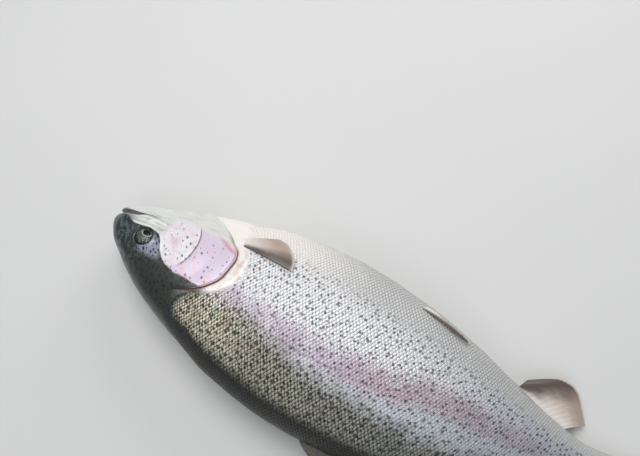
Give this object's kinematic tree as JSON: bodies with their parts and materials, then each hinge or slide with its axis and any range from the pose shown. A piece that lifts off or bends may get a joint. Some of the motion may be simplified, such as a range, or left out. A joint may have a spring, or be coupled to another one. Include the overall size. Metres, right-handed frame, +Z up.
{
  "type": "rainbow trout",
  "caption": "Life-size rainbow trout lying on its left flank, mouth a little open, right pectoral fin folded back, dorsal fin lowered, tail swung gently towards the belly",
  "frame": {"origin": "on the floor, under the middle of the fish's box", "axes": "+X from snout to tail, +Y from back to belly, +Z up out of the right flank"},
  "size_m": [0.5558, 0.1736, 0.0676],
  "materials": {
    "head_skin": "wet skin, dark olive to black with a teal sheen on the snout",
    "cheek_skin": "wet skin over bone, pink to lavender silver with black spots",
    "jaw_skin": "wet smooth skin, pale cream",
    "flank_skin": "wet scales, silver with a pink band, dark olive back, cream belly and many small black spots",
    "eye_surface": "wet, clear, dark iris with a pale gold ring and black pupil",
    "fin_olive": "wet membrane on rays, olive grey with black spots",
    "fin_beige": "wet thin membrane on rays, beige to grey brown"
  },
  "bodies": {
    "root": {"head": "head_skin", "gill_cover_right": "cheek_skin", "gill_cover_left": "cheek_skin", "maxilla_right": "cheek_skin", "maxilla_left": "cheek_skin", "lower_jaw": "jaw_skin", "trunk": "flank_skin", "tail": "flank_skin", "eye_right": "eye_surface", "eye_left": "eye_surface", "dorsal_fin": "fin_olive", "adipose_fin": "fin_olive", "caudal_fin": "fin_olive", "anal_fin": "fin_beige", "pectoral_fin_right": "fin_beige", "pectoral_fin_left": "fin_beige", "pelvic_fin_right": "fin_beige", "pelvic_fin_left": "fin_beige"}
  },
  "joints": []
}
